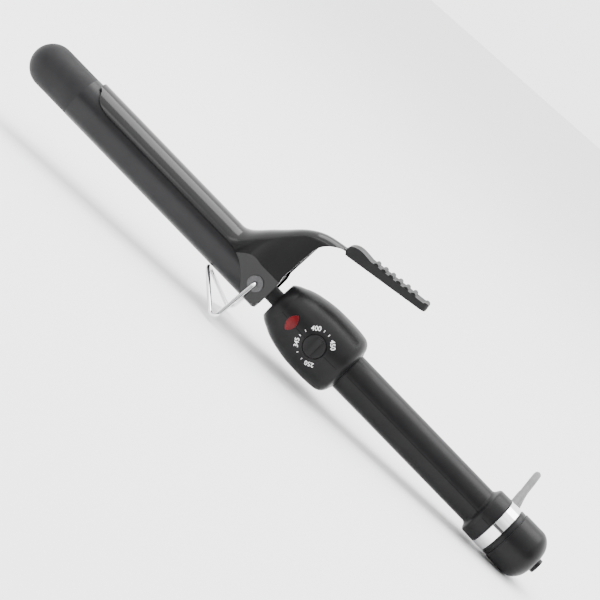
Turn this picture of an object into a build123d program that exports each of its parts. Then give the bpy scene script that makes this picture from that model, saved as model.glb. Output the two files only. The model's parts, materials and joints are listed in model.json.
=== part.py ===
"""Curling iron with a spring clamp, a folding wire stand, a temperature dial and a swivel cord."""

import os
from math import acos, atan2, cos, hypot, pi, radians, sin, tan

from build123d import *

os.makedirs("parts", exist_ok=True)

# ---- Driving dimensions, mm. Stations run along the iron's axis from the clamp pivot, + to the butt ----
BARREL_R = 12.5
BARREL_WALL = 0.8
TIP_END = -169.0
TIP_SEAM = -134.6
TIP_R = 12.4
SPIGOT = 8.0
BARREL_REAR = 6.0
PIVOT_R = 2.2
WIRE_R = 1.2
WIRE_BORE_R = 1.27
EYELET_R = 4.4
EYELET_T = 0.75

CLAMP_R = 14.0
SHEET = 1.0
CLAMP_FRONT = -130.2
CLAMP_LOFT_START = -29.0
EAR_REAR = 8.6
EAR_BOTTOM = -9.3
PAD_LENGTH = 51.6
PAD_HALF = 7.5
PAD_SLOPE = 9.7
PAD_X = 20.3
PAD_Z = 42.7

NECK_R = 4.45
HOUSING_FRONT = 13.8
RING_SEAM = 19.8
HOUSING_REAR = 65.6
GRIP_R = 11.1
GRIP_END = 162.5
COLLAR_R = 14.6
COLLAR_START = 166.1
COLLAR_END = 173.2
SHELL = 2.0

DIAL_X = 44.6
DIAL_POCKET_R = 6.5
DIAL_R = 6.1
DIAL_FLOOR_Y = -17.1
DIAL_SHAFT_R = 2.0
LENS_X = 27.6
LENS_LENGTH = 5.6
LENS_HEIGHT = 10.0

SWIVEL_GAP = 0.3
SPINDLE_R = 6.0
RUNNING = 0.05
RING_END = 180.2
RIM_END = 183.6
CAP_R = 15.0
CAP_STRAIGHT = 195.8
CAP_END = 204.7
BUTT_END = 206.5
BOSS_R = 4.15

STAND_FOOT = (-2.2, 25.0, -27.93)
STAND_SHOULDER_Y = 17.3
STAND_APEX = (-27.0, 0.0, -12.9)

REST_TILT = 4.08
PIVOT_X = -18.7
PIVOT_HEIGHT = 28.9

CORD_D = 4.0
CORD_ANGLE = 27.0
RELIEF_LENGTH = 21.6

# ---- The iron's own frame: x to the butt, z to the clamp, the dial on -y ----
iron = Location((PIVOT_X, 0, PIVOT_HEIGHT), (0, REST_TILT, 0))
long_axis = Axis(iron.position, Plane(iron).x_dir)


def place(x, y, z):
    """A point of the iron's frame."""
    return (iron * Location((x, y, z))).position


def lengthwise(y=0.0):
    """A plane along the axis, seen from the dial side: its x runs to the butt, its y to the clamp."""
    return Plane(iron * Plane.XZ.offset(-y).location)


def crosswise(x):
    """A plane square to the axis at a station: its x is the iron's y, its y runs to the clamp."""
    return Plane(iron * Plane.YZ.offset(x).location)


def level(z):
    """A plane parallel to the axis: its normal runs to the clamp."""
    return Plane(iron * Plane.XY.offset(z).location)


def at(x, y, z, plane):
    """One of the three planes, moved to a point of the iron's frame."""
    return Plane(iron * Location((x, y, z)) * plane.location)


def export(solid, name):
    solid.label = name
    export_step(solid, f"parts/{name}.step")


# ---- Cool tip, barrel and heater ----
with BuildPart() as cool_tip:
    with BuildSketch(lengthwise()):
        with BuildLine():
            Polyline(
                (TIP_END + TIP_R, TIP_R),
                (TIP_SEAM, TIP_R),
                (TIP_SEAM, BARREL_R - BARREL_WALL),
                (TIP_SEAM + SPIGOT, BARREL_R - BARREL_WALL),
                (TIP_SEAM + SPIGOT, TIP_R - 2 * SHELL),
                (TIP_END + TIP_R, TIP_R - 2 * SHELL),
                (TIP_END + 2 * SHELL, 0),
                (TIP_END, 0),
            )
            CenterArc((TIP_END + TIP_R, 0), TIP_R, 90, 90)
        make_face()
    revolve(axis=long_axis)

TUBE_LENGTH = BARREL_REAR - TIP_SEAM
with BuildPart() as barrel_tube:
    with BuildSketch(crosswise(TIP_SEAM)):
        Circle(BARREL_R)
        Circle(BARREL_R - BARREL_WALL, mode=Mode.SUBTRACT)
    extrude(amount=TUBE_LENGTH)
    with BuildSketch(lengthwise()):
        Circle(PIVOT_R)
    extrude(amount=2 * BARREL_R, both=True, mode=Mode.SUBTRACT)

INSULATOR_T = 1.6
INSULATOR_X = TIP_SEAM + SPIGOT
with BuildPart() as tip_insulator:
    with BuildSketch(crosswise(INSULATOR_X)):
        Circle(BARREL_R - BARREL_WALL)
        Circle(SHELL, mode=Mode.SUBTRACT)
    extrude(amount=INSULATOR_T)

SPREADER_START = INSULATOR_X + INSULATOR_T
SPREADER_LENGTH = 84.0
SPREADER_R = 11.5
ELEMENT_T = 3.0
ELEMENT_WIDTH = 14.0
ELEMENT_START = SPREADER_START + 8
ELEMENT_LENGTH = 68.0


def spreader_section():
    """A disc of the barrel's bore, without the slot of the heating element."""
    Circle(SPREADER_R)
    Rectangle(2 * SPREADER_R, ELEMENT_T, mode=Mode.SUBTRACT)


with BuildPart() as heat_spreader_upper:
    with BuildSketch(crosswise(SPREADER_START)):
        spreader_section()
    extrude(amount=SPREADER_LENGTH)
    split(bisect_by=level(0), keep=Keep.TOP)

with BuildPart() as heat_spreader_lower:
    with BuildSketch(crosswise(SPREADER_START)):
        spreader_section()
    extrude(amount=SPREADER_LENGTH)
    split(bisect_by=level(0), keep=Keep.BOTTOM)

with BuildPart() as heating_element:
    with BuildSketch(crosswise(ELEMENT_START)):
        RectangleRounded(ELEMENT_WIDTH, ELEMENT_T, SHEET)
    extrude(amount=ELEMENT_LENGTH)

FUSE_R = 2.0
FUSE_LENGTH = 11.0
SPREADER_END = SPREADER_START + SPREADER_LENGTH
with BuildPart() as thermal_fuse:
    with BuildSketch(crosswise(SPREADER_END)):
        with Locations((0, BARREL_R / 2)):
            Circle(FUSE_R)
    extrude(amount=FUSE_LENGTH)
    fillet(thermal_fuse.edges().filter_by(GeomType.CIRCLE), SHEET / 2)

LEAD_R = 0.9
LEAD_Y = 1.4
BOARD_START = 24.0
with BuildPart() as heater_leads:
    with BuildSketch(crosswise(ELEMENT_START + ELEMENT_LENGTH)):
        with Locations((-LEAD_Y, 0), (LEAD_Y, 0)):
            Circle(LEAD_R)
    extrude(amount=BOARD_START - ELEMENT_START - ELEMENT_LENGTH)

# ---- Barrel mount: plugs the barrel, forms the neck and is held in the housing ----
MOUNT_START = -9.0
NECK_START = BARREL_REAR + 1.4
FLANGE_X = 16.2
FLANGE_T = 2.4
FLANGE_R = 8.0
with BuildPart() as barrel_mount:
    with BuildSketch(lengthwise()):
        Polygon(
            (MOUNT_START, 2.9),
            (MOUNT_START, BARREL_R - BARREL_WALL),
            (BARREL_REAR, BARREL_R - BARREL_WALL),
            (BARREL_REAR, BARREL_R),
            (NECK_START, BARREL_R - BARREL_WALL),
            (NECK_START, NECK_R),
            (FLANGE_X, NECK_R),
            (FLANGE_X, FLANGE_R),
            (FLANGE_X + FLANGE_T, FLANGE_R),
            (FLANGE_X + FLANGE_T, 2.9),
            align=None,
        )
    revolve(axis=long_axis)
    with BuildSketch(lengthwise()):
        Circle(PIVOT_R)
    extrude(amount=2 * BARREL_R, both=True, mode=Mode.SUBTRACT)

EYELET_IN = 8.8
EYELET_OUT = CLAMP_R + 0.3
with BuildPart() as pivot_eyelets:
    for side in (-1, 1):
        with BuildSketch(lengthwise(side * EYELET_IN)):
            Circle(PIVOT_R)
        extrude(amount=-side * (EYELET_OUT - EYELET_IN))
        with BuildSketch(lengthwise(side * EYELET_OUT)):
            Circle(EYELET_R)
        extrude(amount=-side * EYELET_T)
    fillet(
        pivot_eyelets.edges().filter_by(
            lambda e: e.geom_type == GeomType.CIRCLE and e.radius > EYELET_R - 0.1
        ),
        EYELET_T / 3,
    )
    with BuildSketch(lengthwise()):
        Circle(WIRE_BORE_R)
    extrude(amount=2 * CLAMP_R, both=True, mode=Mode.SUBTRACT)

# ---- Clamp: a trough over the barrel, two ears on the pivot and the lever, all one sheet ----
CLAMP_EDGE = 5.1
TOP_R_MIN = 6.6
TOP_R_RATE = 0.3
LEAN_RATE = 0.75
LEAN_HEIGHT = 9.0
# Stations along the iron and the height of the clamp's top there
LEVER_TOP = [
    (CLAMP_LOFT_START, 14.0),
    (-25.8, 14.15),
    (-22.6, 15.6),
    (-19.4, 18.5),
    (-12.0, 26.4),
    (-5.0, 33.9),
    (-0.5, 38.0),
    (4.0, 41.0),
    (9.0, 43.1),
    (14.5, 44.4),
    (20.5, 45.3),
]


def arch_section(top, inset):
    """A round-topped arch, upright beside the barrel and leaning in to its top."""
    half = CLAMP_R - inset
    top_r = max(CLAMP_R - 0.1 - TOP_R_RATE * (top - CLAMP_R), TOP_R_MIN)
    centre = top - top_r
    crown = top_r - inset
    lean = min(LEAN_RATE * (top - CLAMP_R), LEAN_HEIGHT)
    reach = hypot(half, centre - lean)
    turn = atan2(lean - centre, half) + acos(crown / reach)
    touch = (crown * cos(turn), centre + crown * sin(turn))
    with BuildLine() as outline:
        Polyline((-touch[0], touch[1]), (-half, lean), (-half, -CLAMP_R))
        Line((-half, -CLAMP_R), (half, -CLAMP_R))
        Polyline((half, -CLAMP_R), (half, lean), touch)
        ThreePointArc(touch, (0, centre + crown), (-touch[0], touch[1]))
    make_face(outline.edges())


def lever_rise(number):
    """The slope of the clamp's top at a station; level where the lever starts."""
    if number == 0:
        return 0.0
    before = LEVER_TOP[max(number - 1, 0)]
    after = LEVER_TOP[min(number + 1, len(LEVER_TOP) - 1)]
    return (after[1] - before[1]) / (after[0] - before[0])


with BuildPart() as clamp:
    with BuildSketch(crosswise(CLAMP_FRONT)):
        arch_section(CLAMP_R, 0)
    extrude(amount=CLAMP_LOFT_START - CLAMP_FRONT)
    for station, top in LEVER_TOP:
        with BuildSketch(crosswise(station)):
            arch_section(top, 0)
    loft()
    with BuildSketch(crosswise(CLAMP_FRONT)):
        arch_section(CLAMP_R, SHEET)
    extrude(amount=CLAMP_LOFT_START - CLAMP_FRONT, mode=Mode.SUBTRACT)
    for number, (station, top) in enumerate(LEVER_TOP):
        lowered = top + SHEET - SHEET * hypot(1, lever_rise(number))
        with BuildSketch(crosswise(station)):
            arch_section(lowered, SHEET)
    loft(mode=Mode.SUBTRACT)
    # The lower edge, with the rounded tongue in front and the ear at the pivot
    with BuildSketch(lengthwise()):
        with BuildLine():
            Spline(
                (CLAMP_FRONT, CLAMP_R - 0.7),
                (-128.6, 11.9),
                (-125.5, 8.4),
                (-120.3, 6.0),
                (-114.0, CLAMP_EDGE),
                tangents=[(0, -1), (1, 0)],
            )
            Line((-114.0, CLAMP_EDGE), (-27.0, CLAMP_EDGE))
            Spline(
                (-27.0, CLAMP_EDGE),
                (-13.5, 1.7),
                (-7.3, -3.7),
                (-2.8, EAR_BOTTOM),
                tangents=[(1, 0), (1, -1.4)],
            )
            Polyline(
                (-2.8, EAR_BOTTOM),
                (-2.8, -2 * CLAMP_R),
                (CLAMP_FRONT - SHELL, -2 * CLAMP_R),
                (CLAMP_FRONT - SHELL, CLAMP_R - 0.7),
                (CLAMP_FRONT, CLAMP_R - 0.7),
            )
        make_face()
    extrude(amount=2 * CLAMP_R, both=True, mode=Mode.SUBTRACT)
    # The rear edge of the ears and of the lever's sides
    with BuildSketch(lengthwise()):
        with BuildLine():
            Polyline(
                (-2.8, -2 * CLAMP_R),
                (-2.8, EAR_BOTTOM),
                (5.2, EAR_BOTTOM),
                (EAR_REAR, -5.6),
                (EAR_REAR, 8.5),
                (7.6, 12.5),
                (8.6, 30.0),
            )
            Spline(
                (8.6, 30.0),
                (9.0, 34.2),
                (10.9, 37.8),
                (13.5, 40.5),
                (16.1, 42.2),
                (20.5, 43.9),
                tangents=[(0.05, 1), (1, 0.2)],
            )
            Polyline(
                (20.5, 43.9),
                (2 * CLAMP_R, 43.9),
                (2 * CLAMP_R, -2 * CLAMP_R),
                (-2.8, -2 * CLAMP_R),
            )
        make_face()
    extrude(amount=2 * CLAMP_R, both=True, mode=Mode.SUBTRACT)
    # The tongue that carries the thumb pad
    pad_base = iron * Location((PAD_X, 0, PAD_Z), (0, -PAD_SLOPE, 0))
    with BuildSketch(Plane(pad_base * Plane.XY.offset(1.25).location)):
        with Locations((22.4, 0)):
            RectangleRounded(48.0, 8.4, SHELL)
    extrude(amount=SHEET)
    with BuildSketch(lengthwise()):
        Circle(PIVOT_R + RUNNING)
    extrude(amount=2 * CLAMP_R, both=True, mode=Mode.SUBTRACT)

PAD_FRONT_T = 5.9
PAD_DIP_T = 5.0
PAD_END_T = 4.4
RIB_COUNT = 6
RIB_PITCH = 4.85
RIB_START = 17.4
RIB_R = 1.5
with BuildPart() as thumb_pad:
    with BuildSketch(Plane(pad_base * Plane.XZ.location)):
        with BuildLine():
            Spline(
                (0, SHELL),
                (0.6, 4.4),
                (2.6, PAD_FRONT_T),
                (9.5, PAD_FRONT_T + 0.2),
                (14.0, PAD_DIP_T),
            )
            Polyline(
                (14.0, PAD_DIP_T),
                (PAD_LENGTH - 3.2, PAD_END_T - 0.7),
                (PAD_LENGTH - 2.4, PAD_END_T),
                (PAD_LENGTH - 0.8, PAD_END_T),
                (PAD_LENGTH, PAD_END_T - 0.8),
                (PAD_LENGTH, 0.6),
                (PAD_LENGTH - 0.6, 0),
                (1.2, 0),
                (0, SHELL),
            )
        make_face()
    extrude(amount=PAD_HALF, both=True)
    # Corners of the pad in plan
    with BuildSketch(Plane(pad_base * Plane.XY.location)):
        with Locations((PAD_LENGTH / 2, 0)):
            RectangleRounded(PAD_LENGTH, 2 * PAD_HALF, 2 * SHELL)
    extrude(amount=2 * PAD_FRONT_T, mode=Mode.INTERSECT)
    # Transverse ribs
    with BuildSketch(Plane(pad_base * Plane.XZ.location)):
        for rib in range(RIB_COUNT):
            along = RIB_START + rib * RIB_PITCH
            drop = (PAD_DIP_T - PAD_END_T + 0.7) * (rib + 1) / (RIB_COUNT + 2)
            with Locations((along, PAD_DIP_T - drop - 0.3)):
                Circle(RIB_R)
    extrude(amount=PAD_HALF - 0.5, both=True)
    with BuildSketch(Plane(pad_base * Plane.XY.offset(1.25).location)):
        with Locations((22.4, 0)):
            RectangleRounded(48.0, 8.4, SHELL)
    extrude(amount=SHEET, mode=Mode.SUBTRACT)
    with BuildSketch(Plane(pad_base * Plane.XY.location)):
        with Locations((12.0, 0), (38.0, 0)):
            Circle(2.3)
    extrude(amount=1.25, mode=Mode.SUBTRACT)

with BuildPart() as thumb_pad_rivets:
    with BuildSketch(Plane(pad_base * Plane.XY.offset(0.45).location)):
        with Locations((12.0, 0), (38.0, 0)):
            Circle(2.3)
    extrude(amount=0.8)

# ---- Clamp spring: a torsion coil on a pin, in a bracket on the barrel ----
SPRING_HEIGHT = 17.6
SPRING_WIRE_R = 0.6
SPRING_R = 3.0
SPRING_HALF = 5.0
BRACKET_IN = 7.0
with BuildPart() as spring_bracket:
    with BuildSketch(crosswise(-4)):
        with Locations((0, BARREL_R + 0.4)):
            Rectangle(2 * BRACKET_IN + 2 * SHEET, 0.8)
        for side in (-1, 1):
            with Locations((side * (BRACKET_IN + SHEET / 2), SPRING_HEIGHT - 1.8)):
                Rectangle(SHEET, 10.6)
    extrude(amount=8)
    with BuildSketch(crosswise(-6)):
        Circle(BARREL_R)
    extrude(amount=12, mode=Mode.SUBTRACT)
    with BuildSketch(at(0, 0, SPRING_HEIGHT, Plane.XZ)):
        Circle(1.6)
    extrude(amount=2 * BRACKET_IN, both=True, mode=Mode.SUBTRACT)

with BuildPart() as spring_pin:
    with BuildSketch(at(0, 0, SPRING_HEIGHT, Plane.XZ)):
        Circle(1.6)
    extrude(amount=BRACKET_IN + 1.5, both=True)

with BuildPart() as clamp_spring:
    with BuildSketch(at(0, 0, SPRING_HEIGHT, Plane.XZ)):
        Circle(SPRING_R)
        Circle(SPRING_R - 2 * SPRING_WIRE_R, mode=Mode.SUBTRACT)
    extrude(amount=SPRING_HALF, both=True)
    # Legs: one up under the lever, one along the barrel
    with BuildSketch(at(-SPRING_R + 0.7, SPRING_HALF - SHEET, SPRING_HEIGHT, Plane.XY)):
        Circle(SPRING_WIRE_R - 0.05)
    extrude(amount=7.5)
    with BuildSketch(at(0, SHEET - SPRING_HALF, SPRING_HEIGHT - SPRING_R + 0.7, Plane.YZ)):
        Circle(SPRING_WIRE_R - 0.05)
    extrude(amount=-14)

# ---- Wire stand ----
FOOT_X, FOOT_Y, FOOT_Z = STAND_FOOT
stand_points = [
    place(0, -EYELET_IN - 0.6, 0),
    place(0, -STAND_SHOULDER_Y, 0),
    place(FOOT_X, -FOOT_Y, FOOT_Z),
    place(*STAND_APEX),
    place(FOOT_X, FOOT_Y, FOOT_Z),
    place(0, STAND_SHOULDER_Y, 0),
    place(0, EYELET_IN + 0.6, 0),
]
with BuildPart() as stand_wire:
    with BuildLine() as stand_path:
        FilletPolyline(*stand_points, radius=[2.2, 3.2, 5.0, 3.2, 2.2])
    with BuildSketch(Plane(stand_points[0], z_dir=stand_points[1] - stand_points[0])):
        Circle(WIRE_R)
    sweep(path=stand_path.line)

# ---- Housing and handle shells ----
HOUSING_CURVE = [
    (RING_SEAM, 14.6),
    (26.6, 17.2),
    (31.8, 18.3),
    (37.0, 19.1),
    (44.8, 19.5),
    (52.6, 19.4),
    (57.8, 19.0),
    (61.4, 18.1),
    (63.8, 15.9),
    (64.9, 13.2),
]


def housing_outline(inset):
    """The swollen outline of the housing, closed on the axis."""
    points = [(x, r - inset) for x, r in HOUSING_CURVE]
    with BuildLine() as outline:
        Spline(*points)
        Polyline(
            points[-1],
            (HOUSING_REAR, GRIP_R + 0.4 - inset),
            (HOUSING_REAR, 0),
            (RING_SEAM, 0),
            points[0],
        )
    make_face(outline.edges())


def lens_outline(growth):
    """A pointed oval that stands across the iron."""
    half_length = LENS_LENGTH / 2 + growth
    half_height = LENS_HEIGHT / 2 + growth
    with BuildLine() as outline:
        ThreePointArc((LENS_X, half_height), (LENS_X + half_length, 0), (LENS_X, -half_height))
        ThreePointArc((LENS_X, -half_height), (LENS_X - half_length, 0), (LENS_X, half_height))
    make_face(outline.edges())


SCREW_HEAD_R = 2.5
SCREW_R = 1.4
SCREW_BOSS_R = 3.4
SCREW_HEAD_Z = -7.0
HOUSING_SCREW_X = 58.5
GRIP_SCREWS = (84.0, 146.0)

with BuildPart() as front_ring:
    with BuildSketch(lengthwise()):
        with BuildLine():
            Spline((HOUSING_FRONT + 0.6, 11.6), (16.4, 13.0), (RING_SEAM, 14.5))
            Polyline(
                (RING_SEAM, 14.5),
                (RING_SEAM, NECK_R + 0.1),
                (HOUSING_FRONT, NECK_R + 0.1),
                (HOUSING_FRONT, 11.0),
                (HOUSING_FRONT + 0.6, 11.6),
            )
        make_face()
    revolve(axis=long_axis)
    with BuildSketch(crosswise(FLANGE_X)):
        Circle(FLANGE_R)
    extrude(amount=RING_SEAM - FLANGE_X, mode=Mode.SUBTRACT)

with BuildPart() as housing_body:
    with BuildSketch(lengthwise()):
        housing_outline(0)
    revolve(axis=long_axis)
    with BuildSketch(lengthwise()):
        housing_outline(SHELL)
    revolve(axis=long_axis, mode=Mode.SUBTRACT)
    # Seat of the dial
    with BuildSketch(lengthwise(DIAL_FLOOR_Y + SHELL)):
        with Locations((DIAL_X, 0)):
            Circle(DIAL_POCKET_R + SHELL)
    extrude(amount=SHELL)
    with BuildSketch(lengthwise(DIAL_FLOOR_Y + SHELL)):
        with Locations((DIAL_X, 0)):
            Circle(DIAL_POCKET_R + SHELL)
            Circle(DIAL_POCKET_R, mode=Mode.SUBTRACT)
    extrude(amount=2.8)
    with BuildSketch(lengthwise(DIAL_FLOOR_Y)):
        with Locations((DIAL_X, 0)):
            Circle(DIAL_POCKET_R)
    extrude(amount=CLAMP_R, mode=Mode.SUBTRACT)
    with BuildSketch(lengthwise()):
        with Locations((DIAL_X, 0)):
            Circle(DIAL_SHAFT_R + RUNNING)
        lens_outline(0)
    extrude(amount=2 * CLAMP_R, mode=Mode.SUBTRACT)
    # Screw boss
    with BuildSketch(level(-17)):
        with Locations((HOUSING_SCREW_X, 0)):
            Circle(SCREW_BOSS_R)
    extrude(amount=34)

with BuildPart() as housing_upper:
    add(housing_body.part)
    split(bisect_by=level(0), keep=Keep.TOP)
    with BuildSketch(level(0)):
        with Locations((HOUSING_SCREW_X, 0)):
            Circle(SCREW_R)
    extrude(amount=6, mode=Mode.SUBTRACT)

with BuildPart() as housing_lower:
    add(housing_body.part)
    split(bisect_by=level(0), keep=Keep.BOTTOM)
    with BuildSketch(level(0)):
        with Locations((HOUSING_SCREW_X, 0)):
            Circle(SCREW_R)
    extrude(amount=2 * SCREW_HEAD_Z, mode=Mode.SUBTRACT)
    with BuildSketch(level(SCREW_HEAD_Z)):
        with Locations((HOUSING_SCREW_X, 0)):
            Circle(SCREW_HEAD_R)
    extrude(amount=-2 * CLAMP_R, mode=Mode.SUBTRACT)

with BuildPart() as handle_body:
    with BuildSketch(lengthwise()):
        with BuildLine():
            Polyline(
                (HOUSING_REAR, GRIP_R - SHELL),
                (HOUSING_REAR, GRIP_R + 0.1),
                (GRIP_END, GRIP_R - 0.2),
            )
            Spline(
                (GRIP_END, GRIP_R - 0.2),
                (GRIP_END + 1.9, 12.8),
                (COLLAR_START, COLLAR_R - 0.1),
                tangents=[(1, 0.3), (1, 0.15)],
            )
            Polyline(
                (COLLAR_START, COLLAR_R - 0.1),
                (COLLAR_END, COLLAR_R),
                (COLLAR_END, SPINDLE_R + RUNNING),
                (COLLAR_END - SHELL, SPINDLE_R + RUNNING),
                (COLLAR_END - SHELL, GRIP_R - SHELL),
                (HOUSING_REAR, GRIP_R - SHELL),
            )
        make_face()
    revolve(axis=long_axis)
    with BuildSketch(level(1 - GRIP_R)):
        with Locations(*[(x, 0) for x in GRIP_SCREWS]):
            Circle(SCREW_BOSS_R)
    extrude(amount=2 * GRIP_R - 2)

with BuildPart() as handle_upper:
    add(handle_body.part)
    split(bisect_by=level(0), keep=Keep.TOP)
    with BuildSketch(level(0)):
        with Locations(*[(x, 0) for x in GRIP_SCREWS]):
            Circle(SCREW_R)
    extrude(amount=6, mode=Mode.SUBTRACT)

with BuildPart() as handle_lower:
    add(handle_body.part)
    split(bisect_by=level(0), keep=Keep.BOTTOM)
    with BuildSketch(level(0)):
        with Locations(*[(x, 0) for x in GRIP_SCREWS]):
            Circle(SCREW_R)
    extrude(amount=2 * SCREW_HEAD_Z, mode=Mode.SUBTRACT)
    with BuildSketch(level(SCREW_HEAD_Z)):
        with Locations(*[(x, 0) for x in GRIP_SCREWS]):
            Circle(SCREW_HEAD_R)
    extrude(amount=-GRIP_R, mode=Mode.SUBTRACT)

with BuildPart() as handle_screws:
    with BuildSketch(level(SCREW_HEAD_Z)):
        with Locations(*[(x, 0) for x in (HOUSING_SCREW_X, *GRIP_SCREWS)]):
            Circle(SCREW_R)
    extrude(amount=-SCREW_HEAD_Z + 5.6)
    with BuildSketch(level(SCREW_HEAD_Z)):
        with Locations(*[(x, 0) for x in (HOUSING_SCREW_X, *GRIP_SCREWS)]):
            Circle(SCREW_HEAD_R)
            Rectangle(3.0, 0.8, mode=Mode.SUBTRACT)
            Rectangle(0.8, 3.0, mode=Mode.SUBTRACT)
    extrude(amount=-1.6)

# ---- Indicator and control ----
with BuildPart() as indicator_lens:
    with BuildSketch(lengthwise()):
        lens_outline(0)
    extrude(amount=2 * CLAMP_R)
    with BuildSketch(lengthwise()):
        housing_outline(-0.25)
    revolve(axis=long_axis, mode=Mode.INTERSECT)
    with BuildSketch(lengthwise()):
        housing_outline(SHELL)
    revolve(axis=long_axis, mode=Mode.SUBTRACT)

LAMP_R = 2.4
with BuildPart() as neon_lamp:
    with BuildSketch(at(LENS_X, 3.4 - CLAMP_R, -4.5, Plane.XY)):
        Circle(LAMP_R)
    extrude(amount=9)
    fillet(neon_lamp.edges().filter_by(GeomType.CIRCLE), SHEET)

with BuildPart() as lamp_holder:
    with BuildSketch(lengthwise(3.4 - CLAMP_R + LAMP_R)):
        with Locations((LENS_X, 0)):
            Rectangle(4.6, 11)
    extrude(amount=-(CLAMP_R - 3.4 - LAMP_R - 0.8))

BOARD_LENGTH = 26.0
BOARD_HALF = 11.0
BOARD_T = 1.6
with BuildPart() as circuit_board:
    with BuildSketch(lengthwise(0.8)):
        with Locations((BOARD_START + BOARD_LENGTH / 2, 0)):
            RectangleRounded(BOARD_LENGTH, 2 * BOARD_HALF, SHEET)
    extrude(amount=BOARD_T)

POT_R = 7.0
POT_Y = -12.0
with BuildPart() as thermostat:
    with BuildSketch(lengthwise(POT_Y)):
        with Locations((DIAL_X, 0)):
            Circle(POT_R)
            Circle(DIAL_SHAFT_R + RUNNING, mode=Mode.SUBTRACT)
    extrude(amount=POT_Y + 0.8 + 4)
    with BuildSketch(lengthwise(POT_Y + 7.2)):
        with Locations((DIAL_X, 0)):
            Circle(POT_R)
    extrude(amount=POT_Y + 7.2 + 0.8)

BAR_WIDTH = 3.2
BAR_Y = -20.9
with BuildPart() as dial_knob:
    with BuildSketch(lengthwise(DIAL_FLOOR_Y - 0.3)):
        with Locations((DIAL_X, 0)):
            Circle(DIAL_R)
    extrude(amount=1.8)
    fillet(
        dial_knob.faces().filter_by(GeomType.PLANE).sort_by(Axis.Y)[0].edges(),
        0.5,
    )
    with BuildSketch(lengthwise(DIAL_FLOOR_Y - 1.8)):
        with Locations((DIAL_X, 0)):
            RectangleRounded(BAR_WIDTH, 2 * DIAL_R - 0.8, BAR_WIDTH / 2 - 0.1)
    extrude(amount=DIAL_FLOOR_Y - 1.8 - BAR_Y)
    with BuildSketch(lengthwise(DIAL_FLOOR_Y - 0.3)):
        with Locations((DIAL_X, 0)):
            Circle(DIAL_SHAFT_R)
    extrude(amount=DIAL_FLOOR_Y + 6)

SUPPLY_END = 158.0


def supply_route(side):
    """From the circuit board past the screw bosses to the brushes."""
    return [
        place(BOARD_START + BOARD_LENGTH + 0.8, 0, side * 6),
        place(55.0, side * 5.2, side * 5),
        place(64.0, side * 6.2, side * 2.5),
        place(78.0, side * 6.4, 0),
        place(SUPPLY_END, side * 6.4, 0),
    ]


with BuildPart() as supply_leads:
    for side in (-1, 1):
        points = supply_route(side)
        with BuildLine() as lead_path:
            FilletPolyline(*points, radius=[3, 12, 20])
        with BuildSketch(Plane(points[0], z_dir=points[1] - points[0])):
            Circle(LEAD_R)
        sweep(path=lead_path.line)

# ---- Swivel: brushes in the handle, slip rings on the spindle ----
BRUSH_T = 4.0
RING_STEP = 2.8
with BuildPart() as brush_holder:
    with BuildSketch(crosswise(SUPPLY_END)):
        Circle(GRIP_R - SHELL - 0.1)
        Rectangle(6.5, 2 * GRIP_R, mode=Mode.SUBTRACT)
    extrude(amount=BRUSH_T - 0.6)

SPINDLE_START = 163.0
RETAINER_T = 2.2
with BuildPart() as brushes:
    for number, side in enumerate((-1, 1)):
        with BuildSketch(crosswise(SUPPLY_END + BRUSH_T - 0.6)):
            with Locations((side * 8.0, 0)):
                Rectangle(0.8, 3.6)
        extrude(amount=1.0 + (number + 1) * RING_STEP)

with BuildPart() as slip_rings:
    for number in range(2):
        with BuildSketch(crosswise(SPINDLE_START + 0.6 + number * RING_STEP)):
            Circle(7.4)
            Circle(SPINDLE_R, mode=Mode.SUBTRACT)
        extrude(amount=1.6)

with BuildPart() as swivel_carrier:
    with BuildSketch(lengthwise()):
        Polygon(
            (SPINDLE_START, SPINDLE_R - SHELL),
            (SPINDLE_START, SPINDLE_R),
            (COLLAR_END - SHELL - RETAINER_T, SPINDLE_R),
            (COLLAR_END - SHELL - RETAINER_T, SPINDLE_R + 1.8),
            (COLLAR_END - SHELL - SWIVEL_GAP, SPINDLE_R + 1.8),
            (COLLAR_END - SHELL - SWIVEL_GAP, SPINDLE_R),
            (COLLAR_END + SWIVEL_GAP, SPINDLE_R),
            (COLLAR_END + SWIVEL_GAP, COLLAR_R - SHELL),
            (RING_END, COLLAR_R - SHELL),
            (RING_END, COLLAR_R - 0.4),
            (RING_END + 0.5, COLLAR_R - 0.4),
            (RING_END + 0.7, COLLAR_R),
            (RIM_END - 0.7, COLLAR_R),
            (RIM_END - 0.5, COLLAR_R - 0.4),
            (RIM_END, COLLAR_R - 0.4),
            (RIM_END, SPINDLE_R - SHELL),
            align=None,
        )
    revolve(axis=long_axis)

RING_MIDDLE = (COLLAR_END + SWIVEL_GAP + RING_END) / 2
exit_plane = Plane(
    origin=place(RING_MIDDLE, 0, 0),
    z_dir=place(0, cos(radians(CORD_ANGLE)), sin(radians(CORD_ANGLE))) - place(0, 0, 0),
)
RELIEF_BASE_R = 2.7
RELIEF_TIP_R = 2.25
RELIEF_START = COLLAR_R - SHELL
with BuildPart() as swivel_ring:
    with BuildSketch(lengthwise()):
        Polygon(
            (COLLAR_END + SWIVEL_GAP, COLLAR_R - SHELL),
            (COLLAR_END + SWIVEL_GAP, COLLAR_R - 0.3),
            (COLLAR_END + SWIVEL_GAP + 0.3, COLLAR_R),
            (RING_END - 0.3, COLLAR_R),
            (RING_END, COLLAR_R - 0.3),
            (RING_END, COLLAR_R - SHELL),
            align=None,
        )
    revolve(axis=long_axis)
    with BuildSketch(exit_plane):
        Circle(RELIEF_BASE_R)
    extrude(amount=2 * COLLAR_R, mode=Mode.SUBTRACT)

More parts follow.
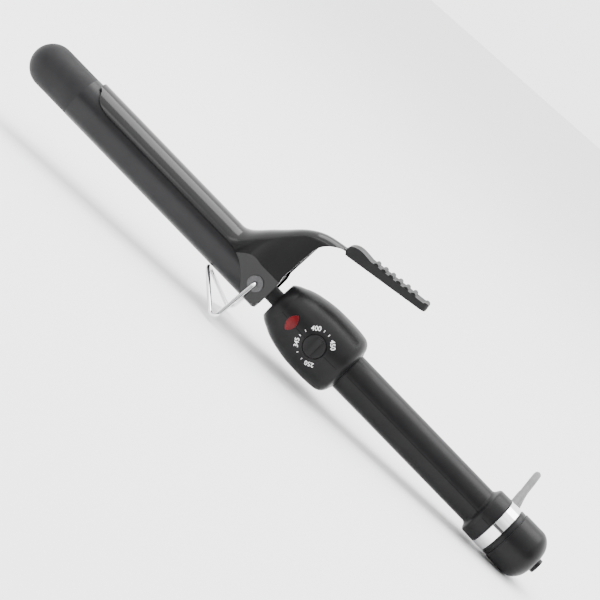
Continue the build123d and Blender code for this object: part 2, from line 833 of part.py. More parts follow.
with BuildPart() as end_cap:
    with BuildSketch(lengthwise()):
        with BuildLine():
            Line((RIM_END, CAP_R - 0.3), (RIM_END + 0.3, CAP_R))
            Line((RIM_END + 0.3, CAP_R), (CAP_STRAIGHT, CAP_R))
            Spline(
                (CAP_STRAIGHT, CAP_R),
                (200.2, 13.3),
                (203.2, 9.6),
                (CAP_END, BOSS_R),
                tangents=[(1, -0.05), (0.25, -1)],
            )
            Polyline(
                (CAP_END, BOSS_R),
                (CAP_END - SHELL, BOSS_R),
                (201.0, 9.2),
                (198.4, 11.8),
                (CAP_STRAIGHT, CAP_R - SHELL),
                (RIM_END, CAP_R - SHELL),
                (RIM_END, CAP_R - 0.3),
            )
        make_face()
    revolve(axis=long_axis)

with BuildPart() as end_plug:
    with BuildSketch(crosswise(CAP_END - SHELL)):
        Circle(BOSS_R)
    extrude(amount=BUTT_END - CAP_END + SHELL)
    fillet(end_plug.edges().filter_by(GeomType.CIRCLE).sort_by(Axis.X)[-1], 0.4)

# ---- Cord: strain relief, free run, tied hank, tail and plug ----
with BuildPart() as strain_relief:
    with BuildSketch(exit_plane.offset(RELIEF_START)):
        Circle(RELIEF_BASE_R)
    with BuildSketch(exit_plane.offset(RELIEF_START + RELIEF_LENGTH)):
        Circle(RELIEF_TIP_R)
    loft()

FLOOR_Z = CORD_D / 2
HANK_X0 = 8.0
HANK_X1 = 96.0
HANK_Y = 82.0
HANK_HALF = 16.0
HANK_WAIST = 10.4
HANK_TOP = 14.6
TIE_WIDTH = 9.0
TIE_T = 1.0
RUN_POINTS = [
    tuple(exit_plane.offset(RELIEF_START + RELIEF_LENGTH).origin),
    tuple(exit_plane.offset(RELIEF_START + RELIEF_LENGTH + 12).origin),
    (159.9, 53.0, 40.9),
    (161.0, 64.8, 39.6),
    (162.6, 76.0, 32.8),
    (164.0, 85.8, 22.8),
    (167.1, 96.2, 13.4),
    (169.4, 106.5, 6.2),
    (166.4, 119.0, 2.7),
    (157.4, 128.4, FLOOR_Z),
    (144.6, 132.0, FLOOR_Z),
    (131.6, 128.6, FLOOR_Z),
    (120.0, 120.0, FLOOR_Z),
    (110.5, 110.0, FLOOR_Z),
    (103.4, 101.8, FLOOR_Z),
    (HANK_X1, 95.9, FLOOR_Z),
]
TAIL_POINTS = [
    (HANK_X1, 68.4, 9.2),
    (102.0, 68.4, 9.2),
    (109.0, 69.0, 7.4),
    (116.0, 69.6, 6.0),
    (122.0, 69.6, 6.0),
]
PLUG_START = TAIL_POINTS[-1]
PLUG_RELIEF = 15.0
PLUG_LENGTH = 24.0
PLUG_WIDTH = 19.0
PLUG_T = 11.6
BLADE_LENGTH = 17.0
BLADE_WIDTH = 6.3
BLADE_T = 1.5
BLADE_STEP = 12.7


def bend_radii(points):
    """The arc at each corner: as large as 0.45 of the shorter run allows."""
    radii = []
    for before, corner, after in zip(points, points[1:], points[2:]):
        run_in = Vector(*corner) - Vector(*before)
        run_out = Vector(*after) - Vector(*corner)
        half_turn = radians(run_in.get_angle(run_out)) / 2
        radii.append(0.45 * min(run_in.length, run_out.length) / tan(half_turn))
    return radii


def check_tube(name, solid, path_length, radii):
    """Print the tightest arcs, and the tube's volume beside its section times its length."""
    expected = path_length * pi * FLOOR_Z**2
    print(name, "radii", [round(r, 1) for r in radii])
    print(name, "length", round(path_length, 1), "volume", round(solid.volume), "expected", round(expected))


with BuildPart() as cord_run:
    with BuildLine() as run_path:
        FilletPolyline(*RUN_POINTS, radius=bend_radii(RUN_POINTS))
    with BuildSketch(Plane(RUN_POINTS[0], z_dir=Vector(*RUN_POINTS[1]) - Vector(*RUN_POINTS[0]))):
        Circle(CORD_D / 2)
    sweep(path=run_path.line)
check_tube("cord_run", cord_run.part, run_path.wire().length, bend_radii(RUN_POINTS))

with BuildPart() as cord_tail:
    with BuildLine() as tail_path:
        FilletPolyline(*TAIL_POINTS, radius=bend_radii(TAIL_POINTS))
    with BuildSketch(Plane(TAIL_POINTS[0], z_dir=Vector(*TAIL_POINTS[1]) - Vector(*TAIL_POINTS[0]))):
        Circle(CORD_D / 2)
    sweep(path=tail_path.line)
check_tube("cord_tail", cord_tail.part, tail_path.wire().length, bend_radii(TAIL_POINTS))

HANK_X = (HANK_X0 + HANK_X1) / 2
with BuildPart() as cord_hank:
    with BuildSketch():
        with Locations((HANK_X, HANK_Y)):
            RectangleRounded(HANK_X1 - HANK_X0, 2 * HANK_HALF, 5)
            Rectangle(TIE_WIDTH, 2 * HANK_HALF, mode=Mode.SUBTRACT)
            Rectangle(TIE_WIDTH, 2 * HANK_WAIST)
    extrude(amount=HANK_TOP)

with BuildPart() as cord_tie:
    for side in (-1, 1):
        with BuildSketch():
            with Locations((HANK_X, HANK_Y + side * (HANK_WAIST + TIE_T / 2))):
                Rectangle(TIE_WIDTH - 2 * TIE_T, TIE_T)
        extrude(amount=HANK_TOP + TIE_T)
    with BuildSketch(Plane.XY.offset(HANK_TOP)):
        with Locations((HANK_X, HANK_Y)):
            Rectangle(TIE_WIDTH - 2 * TIE_T, 2 * HANK_WAIST + TIE_T)
    extrude(amount=TIE_T)

plug_axis = Plane(origin=PLUG_START, x_dir=(0, 1, 0), z_dir=(1, 0, 0))
with BuildPart() as plug_relief:
    with BuildSketch(plug_axis):
        Circle(RELIEF_TIP_R)
    with BuildSketch(plug_axis.offset(PLUG_RELIEF)):
        Circle(RELIEF_BASE_R + 0.6)
    loft()

with BuildPart() as plug_body:
    with BuildSketch(plug_axis.offset(PLUG_RELIEF)):
        RectangleRounded(PLUG_WIDTH - 7, PLUG_T - 2, 3.5)
    with BuildSketch(plug_axis.offset(PLUG_RELIEF + 9)):
        RectangleRounded(PLUG_WIDTH, PLUG_T, 4)
    loft()
    with BuildSketch(plug_axis.offset(PLUG_RELIEF + 9)):
        RectangleRounded(PLUG_WIDTH, PLUG_T, 4)
    extrude(amount=PLUG_LENGTH - 9)
    fillet(plug_body.faces().sort_by(Axis.X)[-1].edges(), 1.0)

with BuildPart() as plug_blades:
    with BuildSketch(plug_axis.offset(PLUG_RELIEF + PLUG_LENGTH)):
        with Locations((-BLADE_STEP / 2, 0), (BLADE_STEP / 2, 0)):
            Rectangle(BLADE_T, BLADE_WIDTH)
    extrude(amount=BLADE_LENGTH)

for name, built in (
    ("cool_tip", cool_tip),
    ("barrel_tube", barrel_tube),
    ("tip_insulator", tip_insulator),
    ("heat_spreader_upper", heat_spreader_upper),
    ("heat_spreader_lower", heat_spreader_lower),
    ("heating_element", heating_element),
    ("thermal_fuse", thermal_fuse),
    ("heater_leads", heater_leads),
    ("barrel_mount", barrel_mount),
    ("pivot_eyelets", pivot_eyelets),
    ("clamp", clamp),
    ("thumb_pad", thumb_pad),
    ("thumb_pad_rivets", thumb_pad_rivets),
    ("spring_bracket", spring_bracket),
    ("spring_pin", spring_pin),
    ("clamp_spring", clamp_spring),
    ("stand_wire", stand_wire),
    ("front_ring", front_ring),
    ("housing_upper", housing_upper),
    ("housing_lower", housing_lower),
    ("handle_upper", handle_upper),
    ("handle_lower", handle_lower),
    ("handle_screws", handle_screws),
    ("indicator_lens", indicator_lens),
    ("neon_lamp", neon_lamp),
    ("lamp_holder", lamp_holder),
    ("circuit_board", circuit_board),
    ("thermostat", thermostat),
    ("dial_knob", dial_knob),
    ("supply_leads", supply_leads),
    ("brush_holder", brush_holder),
    ("brushes", brushes),
    ("slip_rings", slip_rings),
    ("swivel_carrier", swivel_carrier),
    ("swivel_ring", swivel_ring),
    ("end_cap", end_cap),
    ("end_plug", end_plug),
    ("strain_relief", strain_relief),
    ("cord_run", cord_run),
    ("cord_tail", cord_tail),
    ("cord_hank", cord_hank),
    ("cord_tie", cord_tie),
    ("plug_relief", plug_relief),
    ("plug_body", plug_body),
    ("plug_blades", plug_blades),
):
    export(built.part, name)
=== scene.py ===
"""Curling iron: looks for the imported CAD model, with its cord, dial scale and clamp spring."""

import json
from math import cos, pi, radians, sin

import bpy
from mathutils import Matrix, Vector
from mathutils.bvhtree import BVHTree


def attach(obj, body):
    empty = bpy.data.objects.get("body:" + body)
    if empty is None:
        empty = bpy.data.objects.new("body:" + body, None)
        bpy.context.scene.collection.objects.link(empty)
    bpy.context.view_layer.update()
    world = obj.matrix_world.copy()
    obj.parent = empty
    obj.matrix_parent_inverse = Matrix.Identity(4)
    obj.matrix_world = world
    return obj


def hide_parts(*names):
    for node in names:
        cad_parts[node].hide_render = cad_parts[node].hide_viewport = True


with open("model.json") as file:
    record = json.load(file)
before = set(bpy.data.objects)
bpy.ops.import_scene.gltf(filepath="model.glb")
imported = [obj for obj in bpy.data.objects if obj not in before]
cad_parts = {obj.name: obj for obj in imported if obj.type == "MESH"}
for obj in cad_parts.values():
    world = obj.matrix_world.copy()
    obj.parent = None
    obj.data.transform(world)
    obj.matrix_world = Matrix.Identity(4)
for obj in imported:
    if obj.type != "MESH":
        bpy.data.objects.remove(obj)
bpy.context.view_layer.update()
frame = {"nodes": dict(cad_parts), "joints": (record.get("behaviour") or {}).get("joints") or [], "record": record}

MM = 0.001
JOINTS = {joint["name"]: joint for joint in frame["joints"]}
PIVOT = Vector(JOINTS["clamp_open"]["pos_m"])
ALONG = Vector(JOINTS["cord_swivel"]["axis"]).normalized()
ACROSS = Vector((0, 1, 0))
UP = ALONG.cross(ACROSS)


def local(x, y, z):
    """A point of the iron's own frame in mm: x to the butt, z to the clamp, the dial on -y."""
    return PIVOT + (ALONG * x + ACROSS * y + UP * z) * MM


# ---- Camera: beside the iron, a little above its axis, rolled so that the tip points up and left ----
CAMERA_DISTANCE = 1.094
CAMERA_ELEVATION = radians(10.5)
CAMERA_AZIMUTH = radians(2.3)
CAMERA_ROLL = radians(45.9)
CAMERA_LENS = 126.0
SENSOR_WIDTH = 36.0
CAMERA_TARGET = local(21.6, 0, 8.2)


def make_camera():
    """A long lens aimed at the iron, turned about its line of sight."""
    toward = (
        ALONG * sin(CAMERA_AZIMUTH) * cos(CAMERA_ELEVATION)
        - ACROSS * cos(CAMERA_AZIMUTH) * cos(CAMERA_ELEVATION)
        + UP * sin(CAMERA_ELEVATION)
    ).normalized()
    level = (ALONG - toward * ALONG.dot(toward)).normalized()
    rise = toward.cross(level)
    right = level * cos(CAMERA_ROLL) + rise * sin(CAMERA_ROLL)
    up = rise * cos(CAMERA_ROLL) - level * sin(CAMERA_ROLL)
    data = bpy.data.cameras.new("camera")
    data.lens = CAMERA_LENS
    data.sensor_width = SENSOR_WIDTH
    camera = bpy.data.objects.new("camera", data)
    place = CAMERA_TARGET + toward * CAMERA_DISTANCE
    turn = Matrix((right, up, toward)).transposed().to_4x4()
    camera.matrix_world = Matrix.Translation(place) @ turn
    bpy.context.collection.objects.link(camera)
    bpy.context.scene.camera = camera


make_camera()


# ---- Materials ----
# The part of a noise's 0..1 output that holds most of its values
NOISE_LOW = 0.3
NOISE_HIGH = 0.7


class Look:
    """A Principled material with node shortcuts."""

    def __init__(self, name, color, roughness, metallic=0.0):
        self.material = bpy.data.materials.new(name)
        self.material.use_nodes = True
        self.nodes = self.material.node_tree.nodes
        self.links = self.material.node_tree.links
        self.shader = self.nodes["Principled BSDF"]
        self.shader.inputs["Base Color"].default_value = (*color, 1.0)
        self.shader.inputs["Roughness"].default_value = roughness
        self.shader.inputs["Metallic"].default_value = metallic
        self.place = self.nodes.new("ShaderNodeTexCoord")
        self.height = None

    def set(self, socket, value):
        self.shader.inputs[socket].default_value = value

    def noise(self, scale, detail=3.0, stretch=(1.0, 1.0, 1.0)):
        mapping = self.nodes.new("ShaderNodeMapping")
        mapping.inputs["Scale"].default_value = stretch
        self.links.new(self.place.outputs["Object"], mapping.inputs["Vector"])
        noise = self.nodes.new("ShaderNodeTexNoise")
        noise.inputs["Scale"].default_value = scale
        noise.inputs["Detail"].default_value = detail
        self.links.new(mapping.outputs["Vector"], noise.inputs["Vector"])
        return noise.outputs["Fac"]

    def ramp(self, value, low, high, socket):
        """Spread a noise over a range of numbers or of colours, into a shader socket."""
        remap = self.nodes.new("ShaderNodeMapRange")
        remap.inputs["From Min"].default_value = NOISE_LOW
        remap.inputs["From Max"].default_value = NOISE_HIGH
        self.links.new(value, remap.inputs["Value"])
        if isinstance(low, tuple):
            mix = self.nodes.new("ShaderNodeMix")
            mix.data_type = "RGBA"
            mix.inputs["A"].default_value = (*low, 1.0)
            mix.inputs["B"].default_value = (*high, 1.0)
            self.links.new(remap.outputs["Result"], mix.inputs["Factor"])
            self.links.new(mix.outputs["Result"], self.shader.inputs[socket])
            return
        remap.inputs["To Min"].default_value = low
        remap.inputs["To Max"].default_value = high
        self.links.new(remap.outputs["Result"], self.shader.inputs[socket])

    def bump(self, value, depth, strength=1.0):
        node = self.nodes.new("ShaderNodeBump")
        node.inputs["Distance"].default_value = depth
        node.inputs["Strength"].default_value = strength
        self.links.new(value, node.inputs["Height"])
        if self.height:
            self.links.new(self.height, node.inputs["Normal"])
        self.height = node.outputs["Normal"]
        self.links.new(self.height, self.shader.inputs["Normal"])


def moulded(name, dark, light, rough, grain_scale, grain_depth, coat=0.0, gloss=0.14):
    """Moulded plastic: a fine spark-eroded grain, slight mottling and uneven gloss."""
    look = Look(name, dark, sum(rough) / 2)
    look.ramp(look.noise(90.0, 4.0), dark, light, "Base Color")
    look.ramp(look.noise(160.0, 3.0), rough[0], rough[1], "Roughness")
    look.bump(look.noise(grain_scale, 2.0), grain_depth, 0.6)
    look.set("Specular IOR Level", gloss)
    look.set("Coat Weight", coat)
    look.set("Coat Roughness", 0.25)
    return look.material


def metal(name, dark, light, rough, stretch=(1.0, 1.0, 1.0), scale=900.0):
    """Bare or plated metal with fine drawing marks along one direction."""
    look = Look(name, dark, sum(rough) / 2, 1.0)
    look.ramp(look.noise(70.0, 3.0), dark, light, "Base Color")
    look.ramp(look.noise(scale, 3.0, stretch), rough[0], rough[1], "Roughness")
    look.bump(look.noise(scale, 2.0, stretch), 0.00001, 0.35)
    return look.material


def barrel_coating():
    """Satin dark coating on the steel tube, with faint drawing marks round it."""
    look = Look("barrel_coating", (0.035, 0.035, 0.037), 0.34)
    look.ramp(look.noise(60.0, 4.0), (0.009, 0.009, 0.01), (0.012, 0.012, 0.013), "Base Color")
    look.ramp(look.noise(240.0, 3.0, (4.0, 1.0, 1.0)), 0.32, 0.4, "Roughness")
    look.bump(look.noise(2200.0, 2.0, (3.0, 1.0, 1.0)), 0.00001, 0.4)
    look.set("Specular IOR Level", 0.22)
    return look.material


def clamp_enamel():
    """Gloss black enamel with a faint orange peel."""
    look = Look("clamp_enamel", (0.008, 0.008, 0.009), 0.12)
    look.ramp(look.noise(50.0, 3.0), (0.003, 0.003, 0.0034), (0.005, 0.005, 0.0054), "Base Color")
    look.ramp(look.noise(120.0, 3.0), 0.1, 0.16, "Roughness")
    look.bump(look.noise(420.0, 2.0), 0.00002, 0.25)
    look.set("Specular IOR Level", 0.3)
    return look.material


def lens_plastic():
    """Clear red plastic over the lamp."""
    look = Look("lens_plastic", (0.16, 0.006, 0.009), 0.12)
    look.ramp(look.noise(300.0, 2.0), (0.07, 0.003, 0.005), (0.12, 0.005, 0.008), "Base Color")
    look.ramp(look.noise(400.0, 2.0), 0.26, 0.34, "Roughness")
    look.bump(look.noise(500.0, 1.0), 0.00004, 0.4)
    look.set("Specular IOR Level", 0.15)
    return look.material


def cord_rubber():
    """Soft vinyl jacket, dull, with a fine drag texture and a little dust."""
    look = Look("cord_rubber", (0.09, 0.09, 0.092), 0.5)
    look.ramp(look.noise(140.0, 4.0), (0.075, 0.075, 0.078), (0.115, 0.115, 0.118), "Base Color")
    look.ramp(look.noise(400.0, 3.0), 0.42, 0.58, "Roughness")
    look.bump(look.noise(1800.0, 2.0), 0.00002, 0.5)
    return look.material


BLACK = ((0.0055, 0.0055, 0.006), (0.008, 0.008, 0.0085))
LOOKS = {
    "tip_plastic": moulded(
        "tip_plastic",
        (0.014, 0.014, 0.015),
        (0.019, 0.019, 0.02),
        (0.5, 0.6),
        2600.0,
        0.00002,
    ),
    "barrel_coat": barrel_coating(),
    "clamp_coat": clamp_enamel(),
    "pad_plastic": moulded(
        "pad_plastic",
        (0.009, 0.009, 0.0095),
        (0.013, 0.013, 0.0135),
        (0.46, 0.56),
        2200.0,
        0.00003,
    ),
    "housing_plastic": moulded("housing_plastic", *BLACK, (0.3, 0.38), 3000.0, 0.00001),
    "chrome": metal("chrome", (0.86, 0.86, 0.88), (0.92, 0.92, 0.94), (0.05, 0.1), (8.0, 1.0, 1.0)),
    "zinc": metal("zinc", (0.45, 0.45, 0.47), (0.58, 0.58, 0.6), (0.28, 0.4)),
    "aluminium": metal(
        "aluminium",
        (0.68, 0.68, 0.69),
        (0.76, 0.76, 0.77),
        (0.3, 0.45),
        (1.0, 6.0, 6.0),
    ),
    "ceramic": moulded("ceramic", (0.66, 0.63, 0.57), (0.74, 0.71, 0.65), (0.5, 0.65), 900.0, 0.00004),
    "mica": moulded("mica", (0.5, 0.41, 0.26), (0.64, 0.54, 0.36), (0.35, 0.5), 700.0, 0.00005),
    "lead_sleeve": moulded(
        "lead_sleeve",
        (0.62, 0.62, 0.58),
        (0.72, 0.72, 0.68),
        (0.6, 0.75),
        1500.0,
        0.00005,
    ),
    "red_lens": lens_plastic(),
    "lamp_glass": moulded(
        "lamp_glass",
        (0.8, 0.35, 0.2),
        (0.9, 0.5, 0.3),
        (0.08, 0.14),
        400.0,
        0.00001,
        0.8,
    ),
    "board": moulded("board", (0.05, 0.2, 0.07), (0.09, 0.28, 0.11), (0.3, 0.45), 1200.0, 0.00003),
    "cream_plastic": moulded(
        "cream_plastic",
        (0.55, 0.53, 0.46),
        (0.62, 0.6, 0.53),
        (0.4, 0.5),
        1500.0,
        0.00002,
    ),
    "brass": metal("brass", (0.62, 0.44, 0.18), (0.76, 0.58, 0.28), (0.18, 0.3), (1.0, 5.0, 1.0)),
    "cord_jacket": cord_rubber(),
    "gunmetal": metal("gunmetal", (0.05, 0.05, 0.052), (0.09, 0.09, 0.093), (0.25, 0.35)),
    "scale_ink": moulded(
        "scale_ink",
        (0.72, 0.72, 0.72),
        (0.82, 0.82, 0.82),
        (0.5, 0.6),
        2500.0,
        0.00001,
    ),
    "seam_shadow": moulded(
        "seam_shadow",
        (0.0008, 0.0008, 0.0008),
        (0.0014, 0.0014, 0.0014),
        (0.7, 0.8),
        900.0,
        0.00001,
    ),
    "tie": moulded("tie", (0.015, 0.015, 0.016), (0.02, 0.02, 0.021), (0.5, 0.6), 1200.0, 0.00005),
}
SLOT_OF = {part["node"]: part["material_slot"] for part in frame["record"]["subparts"]}


def dress(piece, look):
    piece.data.materials.clear()
    piece.data.materials.append(LOOKS[look])


for node, piece in frame["nodes"].items():
    for material_slot in piece.material_slots:
        material_slot.material = LOOKS[SLOT_OF[node]]


dress(frame["nodes"]["pivot_eyelets"], "gunmetal")
dress(frame["nodes"]["dial_knob"], "pad_plastic")


# ---- Printed dial scale and the shells' parting line, laid on the shells ----
OUTSIDE = 40.0
DIAL_X = (Vector(JOINTS["dial_turn"]["pos_m"]) - PIVOT).dot(ALONG) / MM
DIAL_GAP = 6.9
LENS_X = 27.6
LENS_GAP = 3.2
INK_LIFT = 0.06
SEAM_LIFT = 0.03
SEAM_HALF = 0.14
SEAM_STEP = 1.5
HOUSING_SEAM = (20.2, 65.2)
GRIP_SEAMS = [(67.0, 165.4), (167.0, 172.8)]
MARK_RADIUS = 9.4
MARK_HEIGHT = 2.5
TICK_HEIGHT = 1.1
TICK_WIDTH = 0.32
# The font's size for a given digit height, and how far its outlines are thickened
FONT_PER_HEIGHT = 1.38
FONT_WEIGHT = 0.045
NUMBERS = {"250": -62.6, "345": -148.0, "400": 129.4, "450": 50.6}
TICKS = (-91.7, -116.6, -173.5, -196.4, 102.2, 82.5)


def surface_of(*nodes):
    """The outer faces of CAD nodes, for dropping points onto them."""
    points = []
    faces = []
    for node in nodes:
        mesh = frame["nodes"][node].data
        start = len(points)
        points += [vertex.co.copy() for vertex in mesh.vertices]
        faces += [[start + number for number in face.vertices] for face in mesh.polygons]
    return BVHTree.FromPolygons(points, faces)


def on_surface(tree, x, z, side, lift):
    """The point of the surface straight in from one side, raised by the lift in mm."""
    hit, _, _, _ = tree.ray_cast(local(x, side * OUTSIDE, z), ACROSS * -side)
    return hit + ACROSS * (side * lift * MM)


def laid_piece(name, points, faces, look):
    """A thin piece on the shells, which moves with the handle."""
    mesh = bpy.data.meshes.new(name)
    mesh.from_pydata(points, [], faces)
    piece = bpy.data.objects.new(name, mesh)
    bpy.context.collection.objects.link(piece)
    dress(piece, look)
    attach(piece, "handle")


def mark_place(angle, right, outward):
    """A place on the scale, in the iron's frame, from a mark's own right and outward offsets."""
    radius = MARK_RADIUS + outward
    x = DIAL_X + radius * cos(angle) + right * sin(angle)
    z = radius * sin(angle) - right * cos(angle)
    return x, z


def number_outline(text):
    """The flat faces of a number, centred, in mm."""
    data = bpy.data.curves.new("number", "FONT")
    data.body = text
    data.size = MARK_HEIGHT * FONT_PER_HEIGHT
    data.align_x = "CENTER"
    data.align_y = "CENTER"
    data.offset = FONT_WEIGHT
    data.resolution_u = 5
    text_object = bpy.data.objects.new("number", data)
    mesh = bpy.data.meshes.new_from_object(text_object)
    points = [(vertex.co.x, vertex.co.y) for vertex in mesh.vertices]
    faces = [tuple(face.vertices) for face in mesh.polygons]
    bpy.data.objects.remove(text_object)
    bpy.data.meshes.remove(mesh)
    return points, faces


def tick_outline():
    """The flat face of a tick, centred, in mm."""
    half_width = TICK_WIDTH / 2
    half_height = TICK_HEIGHT / 2
    points = [
        (-half_width, -half_height),
        (half_width, -half_height),
        (half_width, half_height),
        (-half_width, half_height),
    ]
    return points, [(0, 1, 2, 3)]


def make_scale():
    """The numbers and ticks round the dial, their tops outward."""
    shell = surface_of("housing_upper", "housing_lower")
    points = []
    faces = []
    marks = [(turn, number_outline(text)) for text, turn in NUMBERS.items()]
    marks += [(turn, tick_outline()) for turn in TICKS]
    for turn, (outline, outline_faces) in marks:
        start = len(points)
        for right, outward in outline:
            x, z = mark_place(radians(turn), right, outward)
            points.append(on_surface(shell, x, z, -1, INK_LIFT))
        faces += [tuple(start + number for number in face) for face in outline_faces]
    laid_piece("dial_scale", points, faces, "scale_ink")


def make_seams():
    """A fine dark line where the upper and lower shells meet, on both sides."""
    shells = surface_of("housing_upper", "housing_lower", "handle_upper", "handle_lower")
    points = []
    faces = []
    for side in (-1, 1):
        runs = [HOUSING_SEAM, *GRIP_SEAMS]
        if side == -1:
            runs = [
                (HOUSING_SEAM[0], LENS_X - LENS_GAP),
                (LENS_X + LENS_GAP, DIAL_X - DIAL_GAP),
                (DIAL_X + DIAL_GAP, HOUSING_SEAM[1]),
                *GRIP_SEAMS,
            ]
        for start, end in runs:
            steps = max(2, int((end - start) / SEAM_STEP))
            for step in range(steps + 1):
                x = start + (end - start) * step / steps
                points.append(on_surface(shells, x, -SEAM_HALF, side, SEAM_LIFT))
                points.append(on_surface(shells, x, SEAM_HALF, side, SEAM_LIFT))
                if step:
                    last = len(points)
                    faces.append((last - 4, last - 2, last - 1, last - 3))
    laid_piece("parting_line", points, faces, "seam_shadow")


make_scale()
make_seams()

# ---- Clamp spring: the coil turns that the CAD leaves as a sleeve ----
SPRING_HEIGHT = 17.6
SPRING_COIL_R = 2.4
SPRING_WIRE_R = 0.55
SPRING_HALF = 4.3
SPRING_TURNS = 6.25
SPRING_BACK_LEG = 14.0
SPRING_UP_LEG = 7.0
STEPS_PER_TURN = 20


def make_spring():
    """One wire: along the barrel, round the pin, and up under the lever."""
    points = [local(-SPRING_BACK_LEG, -SPRING_HALF, SPRING_HEIGHT - SPRING_COIL_R)]
    steps = int(SPRING_TURNS * STEPS_PER_TURN)
    for step in range(steps + 1):
        angle = 2 * pi * step / STEPS_PER_TURN - pi / 2
        y = SPRING_HALF * (2 * step / steps - 1)
        points.append(local(SPRING_COIL_R * cos(angle), y, SPRING_HEIGHT + SPRING_COIL_R * sin(angle)))
    points.append(local(SPRING_COIL_R, SPRING_HALF, SPRING_HEIGHT + SPRING_UP_LEG))
    curve = bpy.data.curves.new("spring_coil", "CURVE")
    curve.dimensions = "3D"
    spline = curve.splines.new("POLY")
    spline.points.add(len(points) - 1)
    for target, point in zip(spline.points, points):
        target.co = (*point, 1.0)
    curve.bevel_depth = SPRING_WIRE_R * MM
    curve.bevel_resolution = 3
    curve.use_fill_caps = True
    coil = bpy.data.objects.new("spring_coil", curve)
    bpy.context.collection.objects.link(coil)
    dress(coil, SLOT_OF["clamp_spring"])
    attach(coil, "handle")
    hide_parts("clamp_spring")


make_spring()


# ---- Cord: out of the ring, over and down to the floor, round to the tied hank and the plug ----
CORD_DIAMETER = 0.004
LAYER_STEP = 0.0035
HANK_LAYERS = 4
HANK_CENTRE = Vector((0.052, 0.082, 0.002))
END_CENTRE = 0.028
OUTER_TURN = 0.014
INNER_TURN = 0.010
# Half the width of each turn where the tie draws the hank in
WAIST_OF = {OUTER_TURN: 0.0076, INNER_TURN: 0.0036}
# Points along a side of a turn, as shares of its half length, and how far the waist reaches
SIDE_SHARES = (-0.7, -0.18, 0.18, 0.7)
WAIST_REACH = 0.5
END_STEPS = 4
ROUTE = [
    (0.15881, 0.03047, 0.03180),
    (0.15919, 0.04117, 0.03724),
    (0.1599, 0.0530, 0.0409),
    (0.1610, 0.0648, 0.0396),
    (0.1626, 0.0760, 0.0328),
    (0.1640, 0.0858, 0.0228),
    (0.1671, 0.0962, 0.0134),
    (0.1694, 0.1065, 0.0062),
    (0.1664, 0.1190, 0.0027),
    (0.1574, 0.1284, 0.0020),
    (0.1446, 0.1320, 0.0020),
    (0.1316, 0.1286, 0.0020),
    (0.1200, 0.1200, 0.0020),
    (0.1105, 0.1100, 0.0020),
    (0.1034, 0.1018, 0.0020),
    (0.0960, 0.0959, 0.0020),
]
TAIL = [
    (0.0960, 0.0684, 0.0092),
    (0.1020, 0.0684, 0.0092),
    (0.1090, 0.0690, 0.0074),
    (0.1160, 0.0696, 0.0060),
    (0.1220, 0.0696, 0.0060),
]


def side_points(radius, side, direction, height):
    """One side of a turn of the hank, drawn in to the waist under the tie."""
    points = []
    for share in SIDE_SHARES:
        width = WAIST_OF[radius] if abs(share) < WAIST_REACH else radius
        offset = Vector((direction * share * END_CENTRE, side * width, height))
        points.append(HANK_CENTRE + offset)
    return points


def end_points(radius, next_radius, end, start_side, height, rise):
    """The half circle at one end of a turn, which climbs and changes to the next radius."""
    points = []
    for step in range(END_STEPS + 1):
        share = step / END_STEPS
        angle = share * pi
        width = radius + (next_radius - radius) * share
        x = end * (END_CENTRE + width * sin(angle))
        y = start_side * width * cos(angle)
        points.append(HANK_CENTRE + Vector((x, y, height + rise * share)))
    return points


def hank_turns():
    """Long turns wound outside, inside, then a layer up, ending on the near side."""
    order = []
    for layer in range(HANK_LAYERS):
        radii = (OUTER_TURN, INNER_TURN) if layer % 2 == 0 else (INNER_TURN, OUTER_TURN)
        order += [(radius, layer * LAYER_STEP) for radius in radii]
    points = []
    for number, (radius, height) in enumerate(order):
        following = order[min(number + 1, len(order) - 1)]
        points += side_points(radius, 1, -1, height)
        points += end_points(radius, radius, -1, 1, height, 0.0)
        points += side_points(radius, -1, 1, height)
        if number < len(order) - 1:
            points += end_points(radius, following[0], 1, -1, height, following[1] - height)
    return points


def make_cord():
    """One smooth curve through the route, the hank and the tail."""
    points = ROUTE + hank_turns() + TAIL
    curve = bpy.data.curves.new("cord", "CURVE")
    curve.dimensions = "3D"
    spline = curve.splines.new("NURBS")
    spline.points.add(len(points) - 1)
    for target, point in zip(spline.points, points):
        target.co = (*point, 1.0)
    spline.order_u = 3
    spline.use_endpoint_u = True
    spline.resolution_u = 8
    curve.bevel_depth = CORD_DIAMETER / 2
    curve.bevel_resolution = 5
    curve.use_fill_caps = True
    cord = bpy.data.objects.new("cord", curve)
    bpy.context.collection.objects.link(cord)
    dress(cord, "cord_jacket")
    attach(cord, "swivel")
    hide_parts("cord_run", "cord_tail", "cord_hank")
    return cord


cord = make_cord()


# ---- Stage ----
FLOOR_REACH = 6.0
WORLD_DIM = 0.15
WORLD_BRIGHT = 3.4
# A direction's lean to the back plus this share of its rise runs from dim to bright over this range
RISE_SHARE = 0.9
DIM_UNTIL = -0.6
BRIGHT_FROM = 0.5
LIGHT_AIM = (0, 0, 0.03)


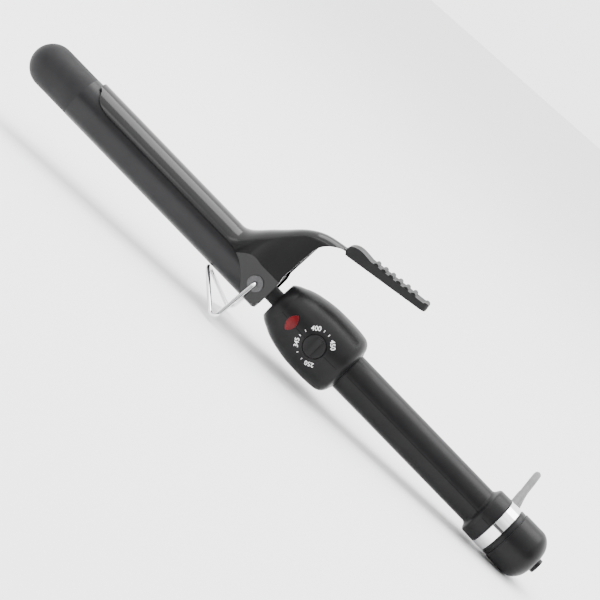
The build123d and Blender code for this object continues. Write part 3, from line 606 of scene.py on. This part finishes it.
def make_floor():
    """A plain, pale paper floor."""
    mesh = bpy.data.meshes.new("floor")
    corners = [
        (-FLOOR_REACH, -FLOOR_REACH, 0),
        (FLOOR_REACH, -FLOOR_REACH, 0),
        (FLOOR_REACH, FLOOR_REACH, 0),
        (-FLOOR_REACH, FLOOR_REACH, 0),
    ]
    mesh.from_pydata(corners, [], [(0, 1, 2, 3)])
    floor = bpy.data.objects.new("floor", mesh)
    bpy.context.collection.objects.link(floor)
    look = Look("floor_paper", (0.93, 0.93, 0.93), 0.9)
    look.ramp(look.noise(3.0, 2.0), (0.925, 0.925, 0.925), (0.935, 0.935, 0.935), "Base Color")
    look.set("Specular IOR Level", 0.1)
    floor.data.materials.append(look.material)


def make_area(name, place, size, power):
    """A soft rectangular light that faces the iron."""
    data = bpy.data.lights.new(name, "AREA")
    data.shape = "RECTANGLE"
    data.size = size[0]
    data.size_y = size[1]
    data.energy = power
    light = bpy.data.objects.new(name, data)
    light.location = place
    light.rotation_euler = (Vector(place) - Vector(LIGHT_AIM)).to_track_quat("Z", "Y").to_euler()
    bpy.context.collection.objects.link(light)


def make_world():
    """A studio that is bright above and behind the iron, and dim behind the camera."""
    world = bpy.data.worlds.new("studio")
    world.use_nodes = True
    nodes = world.node_tree.nodes
    links = world.node_tree.links
    place = nodes.new("ShaderNodeTexCoord")
    split = nodes.new("ShaderNodeSeparateXYZ")
    links.new(place.outputs["Generated"], split.inputs["Vector"])
    spread = nodes.new("ShaderNodeMapRange")
    spread.interpolation_type = "SMOOTHSTEP"
    spread.inputs["From Min"].default_value = DIM_UNTIL
    spread.inputs["From Max"].default_value = BRIGHT_FROM
    spread.inputs["To Min"].default_value = WORLD_DIM
    spread.inputs["To Max"].default_value = WORLD_BRIGHT
    lean = nodes.new("ShaderNodeMath")
    lean.operation = "MULTIPLY_ADD"
    lean.inputs[1].default_value = RISE_SHARE
    links.new(split.outputs["Z"], lean.inputs[0])
    links.new(split.outputs["Y"], lean.inputs[2])
    links.new(lean.outputs["Value"], spread.inputs["Value"])
    background = nodes["Background"]
    background.inputs["Color"].default_value = (1.0, 1.0, 1.0, 1.0)
    links.new(spread.outputs["Result"], background.inputs["Strength"])
    bpy.context.scene.world = world


make_floor()
make_world()
make_area("top", (0.0, 0.3, 1.8), (2.0, 1.2), 55.0)
make_area("front", (0.0, -1.7, 1.05), (1.8, 1.3), 7.0)
make_area("key", (-0.5, -1.0, 1.2), (0.7, 0.25), 1.5)
